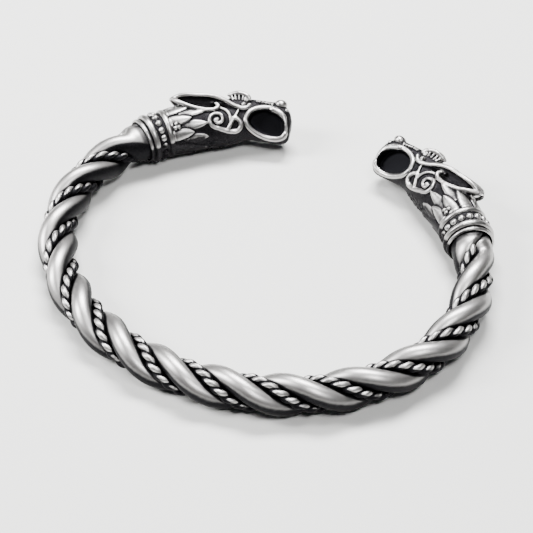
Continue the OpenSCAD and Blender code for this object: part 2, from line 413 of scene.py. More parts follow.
def smoothRod(name, turn, node):
    k = rodSizes
    s = np.linspace(-1, 1, k["steps"]) * (ring["twistHalf"] + k["endDepth"])
    toCollar = (ring["twistHalf"] - np.abs(s))[:, None]
    middle, forward, outward = ringPlace(s)
    radial, around = twistPlace(s, turn)
    along = unitRows(forward - math.pi * k["apart"] / ring["twistPitch"] * around)
    spread = smoothStep(*k["spread"], toCollar)
    across = unitRows((1 - spread) * np.cross(radial, along) + spread * around)
    q = fullTurn(k["sides"])
    half = k["apart"] / 2
    toArc = -half * np.cos(q) + np.sqrt((half * np.cos(q)) ** 2 - half**2 + k["spreadRadius"] ** 2)
    toSplit = (half - k["split"]) / np.maximum(-np.cos(q), 1e-3)
    closedUp = (toArc ** -k["squareness"] + toSplit ** -k["squareness"]) ** (-1 / k["squareness"])
    reach = (1 - spread) * k["radius"] + spread * closedUp
    directions = np.cos(q)[:, None] * radial[:, None] + np.sin(q)[:, None] * across[:, None]
    points, faces = loft((middle + half * radial)[:, None] + reach[:, :, None] * directions)
    away = np.degrees(np.arccos(np.clip(np.cos(q), -1, 1)))
    inGroove = ((1 - spread) * smoothStep(*k["dark"], away)
                + k["splitShare"] * spread * smoothStep(*k["splitDark"], away))
    # Painted shade near the collar and in the corner against it, and black inside the collar's rim
    nearCollar = np.maximum.reduce([k["endShade"] * smoothStep(*k["endReach"], toCollar),
                                    k["cornerShade"] * smoothStep(*k["cornerReach"], toCollar),
                                    smoothStep(*k["socketReach"], toCollar)])
    # Black in the grooves, painted shade near the collar, and painted shade on the sides away from the light
    oxideAndShade = np.maximum(np.maximum(inGroove, nearCollar), paintedSideShade(directions, outward[:, None]))
    finishPiece(meshObject(name, points, faces), points, oxideAndShade.ravel(), satinRod, "smooth_rods", node)


smoothRod("rod_a", 0, "smooth_rod_a")
smoothRod("rod_b", 180, "smooth_rod_b")
print("smooth rods made")


# Roped wires: two plies laid together, in the grooves between the rods

wireSizes = {
    "out": 2.05,        # from the twist's middle to the wire's middle
    "plyApart": 0.6,    # between the middles of the two plies
    "plyRadius": 0.53,
    "plyPitch": 4.0,
    "plyHand": -1.0,    # left-handed, against the rods' twist
    "short": 3.2,       # how far before the collar a wire dives under the rods
    "endLength": 1.5,   # over which its end thins
    "endShare": 0.8,    # of its size that is left there
    "steps": 1100,
    "profileSteps": 20,
    "grooveBlack": (0.05, 0.75),  # of the way up from between the plies: black starts to fade, is gone
    "innerBlack": (0.45, -0.15),  # of the way out from the wire's middle: black begins, is full
}


def ropedWireTree():  # sweeps the plies' outline along a route, turning it as it goes
    tree = geometryTree("ropedWire", {
        "Geometry": "NodeSocketGeometry", "Profile": "NodeSocketObject", "Ply Pitch": "NodeSocketFloat",
        "Ply Hand": "NodeSocketFloat", "Material": "NodeSocketMaterial"})
    given = addNode(tree, "NodeGroupInput").outputs
    length = addNode(tree, "GeometryNodeSplineParameter")
    turns = addNode(tree, "ShaderNodeMath", {0: length.outputs["Length"], 1: given["Ply Pitch"]},
                    operation="DIVIDE")
    handed = addNode(tree, "ShaderNodeMath", {0: turns.outputs[0], 1: given["Ply Hand"]},
                     operation="MULTIPLY")
    angle = addNode(tree, "ShaderNodeMath", {0: handed.outputs[0]}, operation="MULTIPLY",
                    inputs={1: 2 * math.pi})
    tilted = addNode(tree, "GeometryNodeSetCurveTilt",
                     {"Curve": given["Geometry"], "Tilt": angle.outputs[0]})
    profile = addNode(tree, "GeometryNodeObjectInfo", {"Object": given["Profile"]})
    swept = addNode(tree, "GeometryNodeCurveToMesh",
                    {"Curve": tilted.outputs[0], "Profile Curve": profile.outputs["Geometry"]},
                    inputs={"Fill Caps": True})
    return endTree(tree, swept.outputs[0], given["Material"])


def plyOutline():  # section of the two plies side by side
    q = fullTurn(wireSizes["profileSteps"])
    off = wireSizes["plyApart"] / 2
    reach = off * np.abs(np.cos(q)) + np.sqrt(wireSizes["plyRadius"] ** 2 - (off * np.sin(q)) ** 2)
    outline = np.column_stack([reach * np.cos(q), reach * np.sin(q), 0 * q])
    return curveObject("ply_outline", outline * mm, closed=True)


def ropedWire(name, turn, node, tree, profile):
    k = wireSizes
    half = ring["twistHalf"] - k["short"]
    s = np.linspace(-1, 1, k["steps"]) * half
    middle, _, outward = ringPlace(s)
    radial = twistPlace(s, turn)[0]
    path = middle + k["out"] * radial
    ends = smoothStep(half - k["endLength"], half, np.abs(s))
    route = curveObject(name + "_route", path * mm, radii=1 - (1 - k["endShare"]) * ends)
    giveTree(route, tree, {"Profile": profile, "Ply Pitch": k["plyPitch"] * mm,
                           "Ply Hand": k["plyHand"], "Material": ropedSilver})
    mesh = bakedMesh(route, name)
    bpy.data.objects.remove(route)
    points = meshPoints(mesh) / mm
    near = np.minimum(np.arange(len(points)) // k["profileSteps"], len(path) - 1)
    off = points - path[near]
    height = np.linalg.norm(off, axis=1)
    wide = k["plyApart"] / 2 + k["plyRadius"]
    waist = math.sqrt(k["plyRadius"] ** 2 - (k["plyApart"] / 2) ** 2)
    inGroove = 1 - smoothStep(*k["grooveBlack"], (height - waist) / (wide - waist))
    inside = smoothStep(*k["innerBlack"], (off * radial[near]).sum(1) / wide)
    # Black between the plies and toward the twist's middle, and painted shade on the sides away from the
    # light
    oxideAndShade = np.maximum(np.maximum(inGroove, inside), paintedSideShade(off / height[:, None], outward[near]))
    finishPiece(linkedObject(name, mesh), points, oxideAndShade, ropedSilver, "roped_wires", node)


wireTree = ropedWireTree()
wireProfile = plyOutline()
ropedWire("wire_a", 90, "roped_wire_a", wireTree, wireProfile)
ropedWire("wire_b", 270, "roped_wire_b", wireTree, wireProfile)
bpy.data.objects.remove(wireProfile)
print("roped wires made")


# Cast heads, worked out once in a head's own millimetres: u along it, v toward its top, w sideways

skullSizes = {
    "rows": [(2.2, 3.4, 3.4, 3.4), (4.4, 3.7, 3.7, 3.7), (6.5, 3.75, 3.8, 3.75), (9, 3.65, 3.9, 3.6),
             (11.5, 3.7, 4.0, 3.4), (14, 4.1, 3.9, 3.1), (16, 4.4, 3.5, 2.8), (18, 4.2, 3.0, 2.4),
             (21, 3.9, 3.2, 2.15), (23.7, 3.5, 3.4, 1.9), (25.0, 2.5, 3.1, 1.5),
             (25.6, 1.0, 2.4, 0.9)],  # u, reach up, reach down and half width
    "browFrom": 9.5,       # u where the upper half starts to narrow, as a brow does over cheeks
    "browTo": 13,
    "browPowers": (0.35, 0.22),  # what that takes from and adds to the powers of the section's curve
    "flank": 1.02,         # limit of the half width, as a share of an ellipse's
    "step": 0.13,          # between the skin's rings
    "sides": 110,
}
skullTable = smoothPath(skullSizes["rows"], 14)


def skullAt(u):  # reach up, reach down and half width
    return [np.interp(u, skullTable[:, 0], skullTable[:, c]) for c in (1, 2, 3)]


def reachAt(u, v):  # reach on the side that v is on, and half width
    top, bottom, half = skullAt(u)
    return np.where(v > 0, top, bottom), half


def skullPowers(u, v):  # an ellipse has 2 and 0.5
    wedge = np.where(v > 0, smoothStep(skullSizes["browFrom"], skullSizes["browTo"], u), 0.0)
    less, more = skullSizes["browPowers"]
    return 2 - less * wedge, 0.5 + more * wedge


def skullSide(u, v):  # half width of the skull at a place seen from the side
    reach, half = reachAt(u, v)
    power, root = skullPowers(u, v)
    height = np.clip(np.abs(v) / reach, 0, 0.985)  # stays clear of the crown
    return half * (1 - height**power) ** root


def aboveSkull(u, v, w):  # height above the bare skull or neck, near enough close to its surface
    reach, half = reachAt(u, v)
    power, root = skullPowers(u, v)
    share = (np.abs(v) / reach) ** power + (np.abs(w) / half) ** (1 / root)
    return 0.5 * (share - 1) * np.hypot(v, w)


def onSkull(path, side, lift):  # a path seen from the side, laid on the skull
    p = np.asarray(path, float)
    return np.column_stack([p[:, 0], p[:, 1], side * (skullSide(p[:, 0], p[:, 1]) + lift)])


def insideLoop(loop, u, v):  # distance inside a closed line seen from the side, negative outside
    a, b = loop, np.roll(loop, -1, 0)
    best = np.full(len(u), np.inf)
    inside = np.zeros(len(u), bool)
    for (ax, ay), (bx, by) in zip(a, b):
        dx, dy = bx - ax, by - ay
        t = np.clip(((u - ax) * dx + (v - ay) * dy) / (dx * dx + dy * dy), 0, 1)
        best = np.minimum(best, np.hypot(u - ax - t * dx, v - ay - t * dy))
        inside ^= ((ay > v) != (by > v)) & (u < (bx - ax) * (v - ay) / (by - ay + 1e-12) + ax)
    return np.where(inside, best, -best)


# Mouth: a deep recess on both sides, with a thick lip

mouth = {
    "line": [(17.8, 0.5), (18.35, 1.6), (19.5, 2.35), (21.0, 2.65), (22.4, 2.5), (23.6, 1.95), (24.45, 1.1),
             (24.85, 0), (25.0, -1.1), (24.7, -2.1), (23.7, -2.6), (22.35, -2.65), (21.0, -2.4),
             (19.7, -1.9), (18.6, -1.2), (17.95, -0.35)],
    "web": 0.42,          # half thickness left in the middle of the mouth
    "wallFrom": 0.3,      # distance inside the line where the mouth's wall begins
    "wall": 0.35,         # width over which it drops
    "lip": 0.5,           # radius of the lip
    "lipFront": (24.2, 24.9),  # u where it starts to thin toward the mouth's front and is thin
    "lipFrontHalf": 1.3,       # how far up and down that goes
    "lipFrontThin": 0.42,      # share of the radius that it takes
    "lipLow": (-1.0, -2.2),    # v where it starts to thicken toward its lower side and is thick
    "lipLowThick": 0.12,
    "fang": [(22.3, 2.4), (23.3, 1.9), (24.1, 1.15), (24.65, 0.3)],
    "fangTaper": (1.15, 0.3),  # of the lip's radius
    "lift": (-0.02, 0.05),     # above the skull, of the lip and of the fang
    "black": (0.25, 0.6),      # distance inside the line where black begins and is full
    "blackDepth": 0.15,        # below the skull, before there is any
}
mouthLine = smoothPath(mouth["line"], 8, closed=True)


def skull():
    uPlaces = np.arange(skullTable[0, 0], skullTable[-1, 0] + 0.01, skullSizes["step"])
    q = fullTurn(skullSizes["sides"])
    reach, half = reachAt(uPlaces[:, None], np.cos(q))
    v = reach * np.cos(q)
    u = np.broadcast_to(uPlaces[:, None], v.shape)
    w = np.sign(np.sin(q)) * np.minimum(skullSide(u, v), half * np.abs(np.sin(q)) * skullSizes["flank"])
    deep = smoothStep(mouth["wallFrom"], mouth["wallFrom"] + mouth["wall"],
                      insideLoop(mouthLine, u.ravel(), v.ravel())).reshape(v.shape)
    pressed = np.sign(w) * (np.abs(w) * (1 - deep) + mouth["web"] * deep)
    return loft(np.stack([u, v, np.where(np.abs(w) > mouth["web"], pressed, w)], -1))


def lipPiece(side):
    u, v = mouthLine.T
    front = smoothStep(*mouth["lipFront"], u) * (np.abs(v) < mouth["lipFrontHalf"])
    lower = smoothStep(*mouth["lipLow"], v)
    grow = 1 - mouth["lipFrontThin"] * front + mouth["lipLowThick"] * lower
    lipLift, fangLift = mouth["lift"]
    fang = onSkull(smoothPath(mouth["fang"], 6), side, fangLift)
    return [tube(onSkull(mouthLine, side, lipLift), mouth["lip"] * grow, sides=12, closed=True),
            tube(fang, mouth["lip"] * np.linspace(*mouth["fangTaper"], len(fang)))]


def mouthBlack(u, v, w):
    return (smoothStep(*mouth["black"], insideLoop(mouthLine, u, v))
            * (np.abs(w) < skullSide(u, v) - mouth["blackDepth"]))


# Collar: rims and bands, with a row of granules between two rims

collar = {
    "outline": [(2.0, 0.02), (2.0, 3.42), (-0.9, 3.42), (-0.97, 3.6), (-0.88, 3.82), (-0.7, 3.93),
                (-0.46, 3.9), (-0.3, 3.74), (-0.22, 3.6), (-0.06, 3.6), (0.02, 3.78), (0.14, 4.1),
                (0.36, 4.24), (0.7, 4.25), (0.95, 4.16), (1.08, 3.9), (1.14, 3.7), (3.06, 3.7),
                (3.12, 3.86), (3.26, 4.08), (3.5, 4.16), (3.8, 4.13), (4.0, 3.98), (4.12, 3.7),
                (4.3, 3.5), (4.6, 3.4), (4.6, 0.02)],  # distance along the head and from its middle
    "granules": 17,
    "granuleSize": (0.59, 0.48, 0.59),  # along the head, outward and round the collar
    "granulePlace": (2.08, 3.78),
    "end": 4.3,            # u where the neck takes over
    "floor": (3.94, 3.78),  # distance from the middle where the bands' black begins and is full
    "bandFrom": 0.95,      # u from which the bands between the rims are black
    "groove": -0.14,       # u of the thin groove between the first two rims
    "grooveHalf": (0.22, 0.12),  # distance from it where its black begins and is full
    "socket": (2.1, 3.5),  # depth and radius of the hole for the strands
}


def collarBlack(u, out):
    inGroove = smoothStep(*collar["grooveHalf"], np.abs(u - collar["groove"]))
    return smoothStep(*collar["floor"], out) * ((u > collar["bandFrom"]) + inGroove)


def ringOfCopiesTree():  # copies of an object set round the head's middle line
    tree = geometryTree("ringOfCopies", {
        "Geometry": "NodeSocketGeometry", "Copy": "NodeSocketObject", "Count": "NodeSocketInt",
        "Along": "NodeSocketFloat", "Start Turn": "NodeSocketFloat", "Material": "NodeSocketMaterial"})
    given = addNode(tree, "NodeGroupInput").outputs
    place = addNode(tree, "ShaderNodeCombineXYZ", {"X": given["Along"]})
    spots = addNode(tree, "GeometryNodePoints", {"Count": given["Count"], "Position": place.outputs[0]})
    index = addNode(tree, "GeometryNodeInputIndex")
    share = addNode(tree, "ShaderNodeMath", {0: index.outputs[0], 1: given["Count"]}, operation="DIVIDE")
    turn = addNode(tree, "ShaderNodeMath", {0: share.outputs[0]}, operation="MULTIPLY",
                   inputs={1: 2 * math.pi})
    whole = addNode(tree, "ShaderNodeMath", {0: turn.outputs[0], 1: given["Start Turn"]}, operation="ADD")
    angles = addNode(tree, "ShaderNodeCombineXYZ", {"X": whole.outputs[0]})
    rotation = addNode(tree, "FunctionNodeEulerToRotation", {"Euler": angles.outputs[0]})
    copy = addNode(tree, "GeometryNodeObjectInfo", {"Object": given["Copy"]})
    copies = addNode(tree, "GeometryNodeInstanceOnPoints",
                     {"Points": spots.outputs[0], "Instance": copy.outputs["Geometry"],
                      "Rotation": rotation.outputs[0]})
    return endTree(tree, copies.outputs[0], given["Material"])


def ringOfCopies(tree, shape, count, along, startTurn):
    copy = meshObject("copy", *shape)
    carrier = meshObject("carrier", np.zeros((1, 3)), [])
    giveTree(carrier, tree, {"Copy": copy, "Count": count, "Along": along, "Start Turn": startTurn,
                             "Material": castSilver})
    mesh = bakedMesh(carrier, "copies")
    points = meshPoints(mesh)
    faces = [list(p.vertices) for p in mesh.polygons]
    for item in (copy, carrier):
        bpy.data.objects.remove(item)
    bpy.data.meshes.remove(mesh)
    return points, faces


# Neck: two rows of leaf scales, and three small granules against the collar on each side

leaf = {
    "count": 10,
    "length": 5.0,
    "halfWidth": 1.12,
    "root": (0.7, 1.2),    # share of that at the root, and how fast it grows from there
    "taper": (2.8, 0.8),   # powers that draw the tip in
    "lift": 0.36,
    "rootLift": 0.6,       # share of that at the root
    "crown": (2.4, 0.6),   # powers of the rounding across a leaf
    "sink": 0.5,
    "seat": 3.7,
    "rows": ((3.2, 0.14), (5.9, 0.0)),  # where each row starts, and how far it lies above the next
    "outline": (0.15, 0.06),  # distance from a leaf's edge where its black line begins and is full
    "lineBlack": 0.9,
    "rootBlack": 0.2,      # more black toward the root of each leaf
    "film": 0.1,           # thin film left on the neck and on the collar's first rim
    "until": 12,           # u where the leaves' black ends
    "relief": 0.6,         # height above the neck that counts as leaf, and not as ear or scroll
    "fromEar": 0.45,       # how far it stays from the ear's rims
    "fromScroll": 1.85,    # and from the scroll's middle
}
cluster = {"middle": (5.0, 0.25), "turns": (90, 210, 330), "apart": 0.42, "size": 0.36, "lift": 0.3}


def leafWidth(t):  # half width at a share of the leaf's length: broad shoulders and a pointed tip
    (power, root), (start, growth) = leaf["taper"], leaf["root"]
    return leaf["halfWidth"] * (1 - t**power) ** root * np.minimum(1, start + growth * t)


def insideLeaf(u, turn, row):  # distance inside the leaf that covers a place on the neck
    t = (u - leaf["rows"][row][0]) / leaf["length"]
    step = 2 * np.pi / leaf["count"]
    off = np.mod(turn - row * step / 2 + step / 2, step) - step / 2
    return np.where(t < 1, leafWidth(np.clip(t, 0, 1)) - np.abs(off) * leaf["seat"], -1.0)


def leafShape():  # one almond-shaped scale, bent round the neck
    across = np.linspace(-1, 1, 13)
    power, root = leaf["crown"]
    crown = np.clip(1 - np.abs(across) ** power, 0, 1) ** root
    rings = []
    for t in np.linspace(0.02, 0.98, 24):  # just short of the root and the tip
        turns = leafWidth(t) * across / leaf["seat"]
        outs = leaf["seat"] + leaf["lift"] * (leaf["rootLift"] + (1 - leaf["rootLift"]) * t) * crown
        section = list(zip(outs, turns)) + [(leaf["seat"] - leaf["sink"], a) for a in turns[::-1]]
        rings.append([(t * leaf["length"], r * math.cos(a), r * math.sin(a)) for r, a in section])
    return loft(rings)


def settledOnNeck(shape, lift):  # leaves follow the neck, which isn't quite round
    points, faces = shape
    u, v, w = points.T
    out = np.hypot(v, w)
    reach, half = reachAt(u, v)
    neck = 1 / np.hypot(v / out / reach, w / out / half)
    points[:, 1:] *= ((neck + lift + out - leaf["seat"]) / out)[:, None]
    return points, faces


def clusterPiece(side):
    parts = []
    for turn in cluster["turns"]:
        q = math.radians(turn)
        u = cluster["middle"][0] + cluster["apart"] * math.cos(q)
        v = cluster["middle"][1] + cluster["apart"] * math.sin(q)
        out = skullSide(np.array([u]), np.array([v]))[0] + cluster["lift"]
        parts.append(ball((u, v, side * out), cluster["size"]))
    return parts


def leafBlack(u, v, w):  # shade that adds to the neck's black, and the lines round the leaves
    awayU, awayV = u - scroll["middle"][0], v - scroll["middle"][1]
    onNeck = ((u > collar["end"]) * (u < leaf["until"]) * (aboveSkull(u, v, w) < leaf["relief"])
              * (insideLoop(earLoop, u, v) < -leaf["fromEar"])
              * (np.hypot(awayU / scroll["stretch"], awayV) > leaf["fromScroll"]))
    turn = np.arctan2(w, v)
    first, second = insideLeaf(u, turn, 0), insideLeaf(u, turn, 1)
    line = np.maximum(smoothStep(*leaf["outline"], np.abs(first)),
                      (first < 0) * smoothStep(*leaf["outline"], second))
    starts = [row[0] for row in leaf["rows"]]
    toTip = (u - np.where(first > 0, *starts)) / leaf["length"]
    shade = leaf["rootBlack"] * onNeck * smoothStep(1, 0, toTip) + leaf["film"] * (onNeck + (u < 0))
    return shade, leaf["lineBlack"] * line * onNeck


# Ears: two rims that meet in a long tip, a dish between them and a small ball at its root

ear = {
    "top": [(5.9, 5.55, 0.55), (7.1, 5.65, 1.25), (8.4, 5.5, 1.75), (9.8, 5.2, 1.95), (11.4, 4.9, 2.0),
            (12.9, 4.45, 2.15), (14.3, 3.75, 2.15), (15.6, 2.9, 2.2), (17.0, 2.35, 2.2), (17.9, 2.45, 2.1),
            (18.4, 3.0, 1.95)],
    "low": [(5.9, 5.55, 0.55), (6.6, 4.8, 1.5), (7.3, 4.1, 2.1), (8.1, 3.5, 2.4), (9.1, 3.0, 2.6),
            (10.2, 2.55, 2.75), (11.3, 2.3, 2.75), (12.4, 2.3, 2.6), (13.1, 2.75, 2.4), (12.75, 3.3, 2.25)],
    "plate": [(5.8, 5.45, 5.35), (6.7, 5.6, 4.6), (8, 5.5, 3.45), (9.7, 5.15, 2.7), (11.4, 4.85, 2.3),
              (12.9, 4.4, 2.4), (14.5, 3.6, 2.45), (15.9, 2.8, 2.1)],  # u, upper and lower edge
    "rim": 0.38,
    "rimGrow": ((0, 0.1, 0.8, 1), (0.6, 1, 1.05, 0.8)),
    "rimPlace": ((5.8, 8, 12, 16), (0.75, 2.1, 2.4, 2.2)),  # along the head, and out to the rims
    "dish": 0.6,           # depth of the dish below them
    "sag": 0.3,            # further in the dish's middle
    "root": 0.2,
    "backDrop": 0.25,      # of the ear's back edge below its upper one
    "ball": (12.1, 3.5, 1.95, 0.36),
    "black": (0.1, 0.4),   # distance inside the rims where the dish's black begins and is full
    "blackOut": (0.5, 0.9),  # the same, out from the middle of the head
    "blackBelow": (0.1, -0.25),  # the same, from the rims' height
}
# The dish's outline: the upper rim as far as its seventh point, and back along the lower one
earLoop = np.vstack([smoothPath(ear["top"], 4)[:25, :2], smoothPath(ear["low"], 4)[:0:-1, :2]])


def earPiece(side):
    parts = []
    for edge in (ear["top"], ear["low"]):
        path = smoothPath(edge, 6) * (1, 1, side)
        parts.append(tube(path, ear["rim"] * growAlong(path, ear["rimGrow"])))
    u, v, w, size = ear["ball"]
    parts.append(ball((u, v, side * w), size))
    rows = smoothPath(ear["plate"], 5)
    outer = np.interp(rows[:, 0], *ear["rimPlace"]) - ear["dish"]
    across = np.linspace(0, 1, 9)
    rings = []
    for (along, top, low), out in zip(rows, outer):
        sag = ear["sag"] * np.sin(np.pi * across) * min(1, top - low)
        face = [(along, top + (low - top) * t, side * (out - d)) for t, d in zip(across, sag)]
        rise = top - ear["backDrop"] - low
        back = [(along, low + rise * t, side * ear["root"]) for t in (0, 0.33, 0.67, 1)]
        rings.append(face + back)
    rings = np.array(rings)
    parts.append(loft(rings if side > 0 else rings[:, ::-1]))
    return parts


def earBlack(u, v, w):
    rims = np.interp(u, *ear["rimPlace"])
    return (smoothStep(*ear["black"], insideLoop(earLoop, u, v)) * smoothStep(*ear["blackOut"], np.abs(w))
            * smoothStep(*ear["blackBelow"], np.abs(w) - rims))


# Brows: a high crest, a notched hollow below it and an eye

brow = {
    "crest": [(14.95, 4.95, 0.25), (15.75, 5.12, 0.45), (16.7, 5.15, 0.7), (17.5, 4.85, 0.9),
              (18.1, 4.4, 1.0), (18.4, 3.85, 1.1)],
    "crestRadius": 0.42,
    "crestGrow": ((0, 0.3, 0.8, 1), (0.6, 1, 1, 0.6)),
    "foot": (16.9, 3.1, 1.45),  # where the hollow below the crest meets the skull
    "footShare": 0.7,      # length of the hollow's foot, as a share of the crest's
    "inward": (0.15, 1.3, 0.5),  # of the hollow's upper edge, and of its back at the foot and the crest
    "teeth": 6,
    "toothAlong": (0.1, 0.8),  # share of the crest that has teeth
    "toothShare": 0.55,    # how far down the hollow the teeth reach
    "toothLift": 0.1,
    "toothTaper": (0.17, 0.11),
    "eye": (17.35, 3.05, 1.7),
    "eyeSize": (0.42, 0.42, 0.62),
    "under": [(18.3, 2.9), (15.2, 2.9)],  # closes the brow's line below the hollow
    "black": (0.15, 0.35),  # distance inside that line where black begins and is full
    "blackLift": (0.12, -0.02),  # the same, from the hollow's surface
    "blackShare": 0.85,
}
browCrest = smoothPath(brow["crest"], 6)
browLoop = np.vstack([browCrest[:, :2], brow["under"]])


def browPiece(side):
    flip = np.array([1, 1, side])
    crest = browCrest * flip
    parts = [tube(crest, brow["crestRadius"] * growAlong(crest, brow["crestGrow"]))]
    middle, low, out = brow["foot"]
    feet = np.column_stack([middle + (crest[:, 0] - middle) * brow["footShare"],
                            np.full(len(crest), low), np.full(len(crest), side * out)])
    edge, footBack, crestBack = (flip * (0, 0, depth) for depth in brow["inward"])
    rings = np.stack([crest - edge, feet, feet - footBack, crest - crestBack], 1)
    parts.append(loft(rings[:, ::-1] if side > 0 else rings))
    share = np.linspace(0, brow["toothShare"], 5)[:, None]
    for t in np.linspace(*brow["toothAlong"], brow["teeth"]):
        at = round(t * (len(crest) - 1))
        path = crest[at] * (1 - share) + feet[at] * share + flip * (0, 0, brow["toothLift"])
        parts.append(tube(path, np.linspace(*brow["toothTaper"], 5), sides=6))
    parts.append(ball(flip * brow["eye"], brow["eyeSize"]))
    return parts


def browBlack(u, v, w):
    crestV, crestW = (np.interp(u, browCrest[:, 0], browCrest[:, c]) for c in (1, 2))
    low, foot = brow["foot"][1:]
    hollow = crestW + (foot - crestW) * np.clip((crestV - v) / (crestV - low), 0, 1)
    return (brow["blackShare"] * smoothStep(*brow["black"], insideLoop(browLoop, u, v))
            * smoothStep(*brow["blackLift"], np.abs(w) - hollow))


# Cheek scrolls: a spiral that runs on into a loop, with a strap and an arc

scroll = {
    "middle": (12.7, 0.4),
    "inner": 0.36,          # radius where the spiral starts
    "outer": 1.5,
    "stretch": 1.15,        # along the head
    "turns": 1.28,
    "loop": [(13.6, -1.45), (14.9, -1.75), (16.1, -1.7), (16.85, -1.05), (16.8, -0.15), (16.2, 0.45),
             (15.6, 0.55)],
    "strap": [(16.4, 1.75), (15.95, 0.95), (15.4, 0.1), (14.95, -0.65), (14.5, -1.45)],
    "arcTurn": (118, -8),   # degrees round the spiral's middle, from along the head toward its top
    "arcRadius": 2.08,
    "bar": 0.35,
    "barGrow": ((0, 0.06, 0.5, 0.75, 1), (0.7, 0.8, 1.05, 1.4, 1.0)),
    "strapGrow": (0.7, 1.15),
    "arcShare": 0.85,       # of the bar's radius
    "lift": (0.14, 0.12, 0.1),  # above the skull, of the spiral, the strap and arc, and the ball
    "ball": 0.36,
}


def scrollPiece(side):
    k = scroll
    centre = np.array(k["middle"])
    barLift, strapLift, ballLift = k["lift"]
    t = np.linspace(0, 1, 60)
    q = np.radians(-90 - 360 * k["turns"] * (1 - t))
    r = k["inner"] * (1 - t) + k["outer"] * t
    spiral = centre + np.column_stack([k["stretch"] * r * np.cos(q), r * np.sin(q)])
    path = np.vstack([spiral[:-1], smoothPath([spiral[-1]] + k["loop"], 6)])
    strap = smoothPath(k["strap"], 6)
    q = np.radians(np.linspace(*k["arcTurn"], 16))
    arc = centre + k["arcRadius"] * np.column_stack([k["stretch"] * np.cos(q), np.sin(q)])
    return [tube(onSkull(path, side, barLift), k["bar"] * growAlong(path, k["barGrow"])),
            tube(onSkull(strap, side, strapLift), k["bar"] * np.linspace(*k["strapGrow"], len(strap))),
            tube(onSkull(arc, side, strapLift), k["bar"] * k["arcShare"]),
            ball(onSkull([centre], side, ballLift)[0], k["ball"])]


# Nose: a ball, two small wings below it, and a bridge between rows of dots

nose = {
    "ball": (23.4, 3.55, 0.0), "ballSize": (1.05, 0.88, 1.05),
    "wing": (24.5, 2.5, 0.6), "wingSize": 0.42,
    "bridge": [(18.8, 3.75, 0), (20, 3.65, 0), (21.5, 3.5, 0), (22.6, 3.45, 0)], "bridgeRadius": 0.4,
    "dots": 6, "dotFrom": 19.5, "dotTo": 22.1, "dotSize": 0.23, "dotW": 0.95, "dotLift": 0.06,
}


def nosePieces():
    parts = [ball(nose["ball"], nose["ballSize"]), tube(smoothPath(nose["bridge"], 5), nose["bridgeRadius"])]
    for side in (-1, 1):
        u, v, w = nose["wing"]
        parts.append(ball((u, v, side * w), nose["wingSize"]))
        for u in np.linspace(nose["dotFrom"], nose["dotTo"], nose["dots"]):
            top, _, half = skullAt(u)
            v = top * math.sqrt(1 - (nose["dotW"] / half) ** 2) + nose["dotLift"]
            parts.append(ball((u, v, side * nose["dotW"]), nose["dotSize"], sides=8))
    return parts


# Beard: rough hair under the jaw, darkened with painted shade

beard = {
    "along": (9.5, 11.0, 15.0, 17.5),  # u where it grows in and out
    "below": (-2.4, -3.2),
    "rough": 0.16,         # height of its lumps
    "size": 0.42,          # and their width
    "reach": 3.5,          # usual distance from the head's middle
    "black": (8.5, 11, 17, 19),  # u where the painted shade under the jaw begins and is full, and where it starts to end
    # v below which that painted shade begins and is full, and its share
    "blackBelow": (-1.6, -3.0),
    "blackShare": 0.8,
}


def underJawShare(u, v, along, below):
    return smoothStep(*along[:2], u) * (1 - smoothStep(*along[2:], u)) * smoothStep(*below, v)


def growBeard(points):  # moves the points themselves
    hairAndJawShade = underJawShare(points[:, 0], points[:, 1], beard["along"], beard["below"])
    for i in np.nonzero(hairAndJawShade > 0.01)[0]:
        lump = noise.noise(Vector(points[i] / beard["size"]))
        grow = 1 + beard["rough"] * hairAndJawShade[i] * lump / beard["reach"]
        points[i] *= (1, grow, grow)


# Casting: all of a head's pieces fused into one skin, then blackened and wiped, with painted shade beneath

casting = {
    "voxel": 0.12,         # millimetres; finer than a pixel of the picture
    "softening": 2,        # rounds of smoothing, as the casting and tumbling leave it
    "fineRounds": 4,       # rounds for the surface that small recesses are measured from
    "broadRounds": 35,     # and wide ones
    "fineDark": 11.0,      # share of black for each millimetre below those surfaces
    "broadDark": 3.6,
    "base": 0.38,          # and where the skin lies level with them
    "bare": (0.3, 0.12),   # height above the bare skull where its black begins and is full
    "bareShare": 0.85,
    "neckUnderShade": (-0.36, -0.66),  # where the painted shade on the neck's underside begins and is full
    # u where the neck's painted underside shade ends, and its share
    "neckUnderShadeEnd": (9.5, 11.5),
    "neckUnderShadeShare": 0.8,
    "dishShare": 0.9,      # of the ear's black
}


def castHead():
    parts = [skull(), lathe(collar["outline"])]
    rings = ringOfCopiesTree()
    u, out = collar["granulePlace"]
    parts.append(ringOfCopies(rings, ball((0, out, 0), collar["granuleSize"]), collar["granules"], u, 0.0))
    for row, (start, lift) in enumerate(leaf["rows"]):
        leaves = ringOfCopies(rings, leafShape(), leaf["count"], start, math.pi * row / leaf["count"])
        parts.append(settledOnNeck(leaves, lift))
    for side in (-1, 1):
        parts += earPiece(side) + browPiece(side) + scrollPiece(side) + lipPiece(side) + clusterPiece(side)
    parts += nosePieces()
    model = meshObject("wax", *joined(parts))
    remesh = model.modifiers.new("cast", "REMESH")
    remesh.mode = "VOXEL"
    remesh.voxel_size = casting["voxel"]
    mesh = bakedMesh(model, "head")
    bpy.data.objects.remove(model)
    return mesh


def smoothed(points, edges, rounds):  # each round moves a point half way to its neighbours' middle
    count = np.bincount(edges.ravel(), minlength=len(points))[:, None]
    p = points.copy()
    for _ in range(rounds):
        total = np.column_stack([np.bincount(edges[:, 0], p[edges[:, 1], c], len(p))
                                 + np.bincount(edges[:, 1], p[edges[:, 0], c], len(p)) for c in range(3)])
        p += 0.5 * (total / count - p)
    return p


